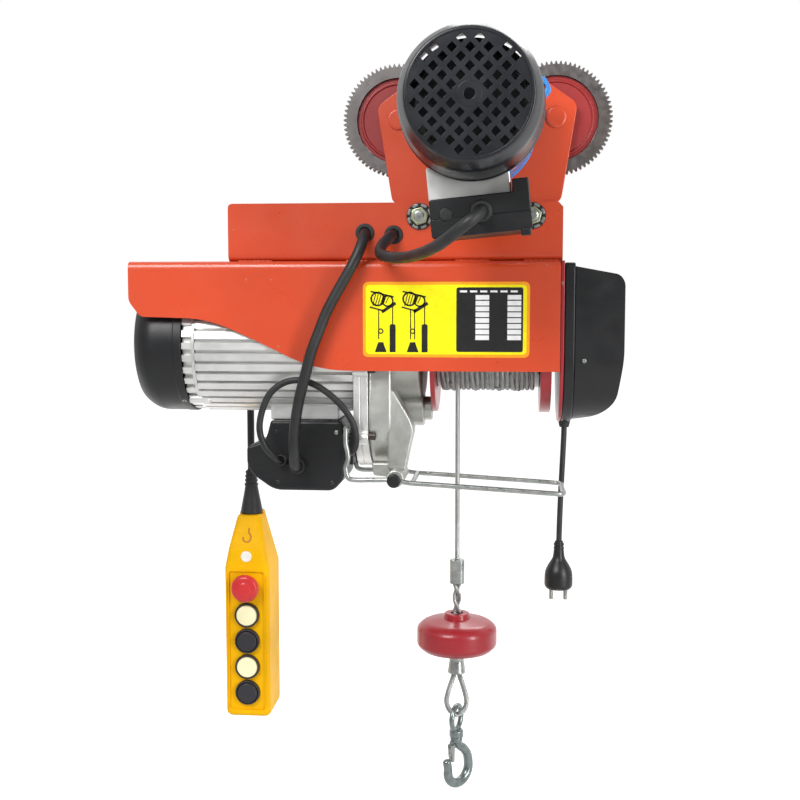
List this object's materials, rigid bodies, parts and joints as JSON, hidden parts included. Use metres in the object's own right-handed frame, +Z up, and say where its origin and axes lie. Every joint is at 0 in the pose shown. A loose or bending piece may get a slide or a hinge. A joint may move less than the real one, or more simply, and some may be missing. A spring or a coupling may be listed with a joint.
{
  "type": "electric wire rope hoist",
  "caption": "Electric wire rope hoist on a motor-driven beam trolley, with a load hook, a limit bail and a push-button pendant.",
  "frame": {"origin": "centre of the trolley, at the height of the rolling surface of the beam's lower flange", "axes": "+X along the beam and the rope drum, -Y towards the trolley motor, +Z up"},
  "size_m": [0.501, 0.407, 0.7484],
  "materials": {
    "red_paint": "glossy powder coat",
    "dark_red_paint": "semi-gloss paint",
    "blue_paint": "semi-gloss paint on cast metal",
    "yellow_plastic": "satin moulded plastic",
    "black_plastic": "satin moulded plastic",
    "cream_plastic": "satin moulded plastic",
    "red_plastic": "satin moulded plastic",
    "cord_black": "matt cable sheath",
    "cast_aluminium": "as cast",
    "steel": "machined",
    "zinc_plate": "zinc plated",
    "winding_copper": "varnished laminations and copper"
  },
  "bodies": {
    "root": {"trolley_plate_near": "red_paint", "trolley_plate_far": "red_paint", "near_axle_left": "red_paint", "near_axle_right": "red_paint", "far_axle_left": "red_paint", "far_axle_right": "red_paint", "trolley_gearbox": "blue_paint", "trolley_motor_body": "cast_aluminium", "trolley_fan_cover": "black_plastic", "trolley_terminal_box": "black_plastic", "hanger_channel": "red_paint", "cross_bolt_left": "zinc_plate", "cross_bolt_right": "zinc_plate", "frame_shell": "red_paint", "end_plate": "dark_red_paint", "motor_housing": "cast_aluminium", "stator_core": "winding_copper", "motor_end_shield": "cast_aluminium", "motor_fan_cover": "black_plastic", "gearbox_flange": "cast_aluminium", "gearbox_case": "cast_aluminium", "wire_rope": "zinc_plate", "limit_switch": "black_plastic", "terminal_box": "black_plastic", "control_box_base": "black_plastic", "control_box_cover": "black_plastic", "power_cord": "cord_black", "power_plug": "cord_black", "trolley_cable": "cord_black", "switch_cable": "cord_black"},
    "left_drive_wheel": {"geared_wheel_left": "dark_red_paint"},
    "right_drive_wheel": {"geared_wheel_right": "dark_red_paint"},
    "left_plain_wheel": {"plain_wheel_left": "dark_red_paint"},
    "right_plain_wheel": {"plain_wheel_right": "dark_red_paint"},
    "drive_shaft": {"drive_pinion": "steel"},
    "countershaft": {"trolley_countershaft": "steel"},
    "trolley_motor_shaft": {"trolley_rotor": "steel"},
    "drum": {"rope_drum": "dark_red_paint", "rope_winding": "zinc_plate", "output_shaft": "steel"},
    "idler": {"idler_gear": "steel"},
    "hoist_motor_shaft": {"motor_rotor": "steel", "cooling_fan": "black_plastic"},
    "hook_block": {"rope_return": "zinc_plate", "limit_weight": "dark_red_paint", "rope_eye": "zinc_plate", "hook_eye": "zinc_plate"},
    "hook": {"load_hook": "zinc_plate"},
    "latch": {"hook_latch": "zinc_plate"},
    "bail": {"limit_bail": "zinc_plate"},
    "plunger": {"limit_plunger": "zinc_plate"},
    "pendant": {"pendant_cord": "cord_black", "pendant_boot": "cord_black", "pendant_front": "yellow_plastic", "pendant_back": "yellow_plastic"},
    "estop": {"estop_button": "red_plastic"},
    "up_button": {"button_up": "cream_plastic"},
    "down_button": {"button_down": "black_plastic"},
    "left_button": {"button_left": "cream_plastic"},
    "right_button": {"button_right": "black_plastic"}
  },
  "joints": [
    {"name": "left_drive_wheel_spin", "type": "hinge", "parent": "root", "child": "left_drive_wheel", "pos_m": [-0.078, -0.05, 0.03], "axis": [0, 1, 0], "continuous": true},
    {"name": "right_drive_wheel_spin", "type": "hinge", "parent": "root", "child": "right_drive_wheel", "pos_m": [0.078, -0.05, 0.03], "axis": [0, 1, 0], "continuous": true},
    {"name": "left_plain_wheel_spin", "type": "hinge", "parent": "root", "child": "left_plain_wheel", "pos_m": [-0.078, 0.04, 0.03], "axis": [0, 1, 0], "continuous": true},
    {"name": "right_plain_wheel_spin", "type": "hinge", "parent": "root", "child": "right_plain_wheel", "pos_m": [0.078, 0.04, 0.03], "axis": [0, 1, 0], "continuous": true},
    {"name": "drive_shaft_spin", "type": "hinge", "parent": "root", "child": "drive_shaft", "pos_m": [0, -0.07, 0.01916], "axis": [0, 1, 0], "continuous": true},
    {"name": "countershaft_spin", "type": "hinge", "parent": "root", "child": "countershaft", "pos_m": [0, -0.09, 0.04676], "axis": [0, 1, 0], "continuous": true},
    {"name": "trolley_motor_spin", "type": "hinge", "parent": "root", "child": "trolley_motor_shaft", "pos_m": [0, -0.15, 0.01916], "axis": [0, 1, 0], "continuous": true},
    {"name": "drum_spin", "type": "hinge", "parent": "root", "child": "drum", "pos_m": [0, 0, -0.196], "axis": [-1, 0, 0], "range_deg": [0, 160]},
    {"name": "idler_spin", "type": "hinge", "parent": "root", "child": "idler", "pos_m": [-0.09, 0, -0.264], "axis": [-1, 0, 0], "range_deg": [-618, 1]},
    {"name": "hoist_motor_spin", "type": "hinge", "parent": "root", "child": "hoist_motor_shaft", "pos_m": [-0.2, 0, -0.196], "axis": [-1, 0, 0], "range_deg": [-1, 2881]},
    {"name": "hook_lift", "type": "slide", "parent": "root", "child": "hook_block", "axis": [0, 0, 1], "range_m": [0, 0.129], "deforming": ["wire_rope"]},
    {"name": "hook_swivel", "type": "hinge", "parent": "hook_block", "child": "hook", "pos_m": [-0.018, -0.046, -0.606], "axis": [0, 0, 1], "continuous": true},
    {"name": "latch_swing", "type": "hinge", "parent": "hook", "child": "latch", "pos_m": [-0.02288, -0.05182, -0.615], "axis": [0.766, -0.6428, 0], "range_deg": [0, 25], "stiffness_Nm_per_rad": 0.02, "springref_deg": -11.46},
    {"name": "bail_tilt", "type": "hinge", "parent": "root", "child": "bail", "pos_m": [-0.08, -0.046, -0.3295], "axis": [0, -1, 0], "range_deg": [0, 5]},
    {"name": "plunger_travel", "type": "slide", "parent": "root", "child": "plunger", "axis": [0, 0, -1], "range_m": [0, 0.0042], "stiffness_N_per_m": 200},
    {"name": "pendant_swing", "type": "hinge", "parent": "root", "child": "pendant", "pos_m": [-0.2705, 0.112, -0.1485], "axis": [0, 1, 0], "range_deg": [-12, 12]},
    {"name": "up_press", "type": "slide", "parent": "pendant", "child": "up_button", "axis": [0, 1, 0], "range_m": [0, 0.003], "stiffness_N_per_m": 300},
    {"name": "down_press", "type": "slide", "parent": "pendant", "child": "down_button", "axis": [0, 1, 0], "range_m": [0, 0.003], "stiffness_N_per_m": 300},
    {"name": "left_press", "type": "slide", "parent": "pendant", "child": "left_button", "axis": [0, 1, 0], "range_m": [0, 0.003], "stiffness_N_per_m": 300},
    {"name": "right_press", "type": "slide", "parent": "pendant", "child": "right_button", "axis": [0, 1, 0], "range_m": [0, 0.003], "stiffness_N_per_m": 300},
    {"name": "estop_press", "type": "slide", "parent": "pendant", "child": "estop", "axis": [0, 1, 0], "range_m": [0, 0.005]}
  ],
  "couplings": [
    {"joint": "right_drive_wheel_spin", "follows": "left_drive_wheel_spin", "ratio": 1},
    {"joint": "drive_shaft_spin", "follows": "left_drive_wheel_spin", "ratio": -2.2812},
    {"joint": "countershaft_spin", "follows": "left_drive_wheel_spin", "ratio": 6.8438},
    {"joint": "trolley_motor_spin", "follows": "left_drive_wheel_spin", "ratio": -20.531},
    {"joint": "idler_spin", "follows": "drum_spin", "ratio": -3.8571},
    {"joint": "hoist_motor_spin", "follows": "drum_spin", "ratio": 18},
    {"joint": "hook_lift", "follows": "drum_spin", "m_per_rad": 0.046},
    {"joint": "plunger_travel", "follows": "bail_tilt", "m_per_rad": 0.048}
  ]
}
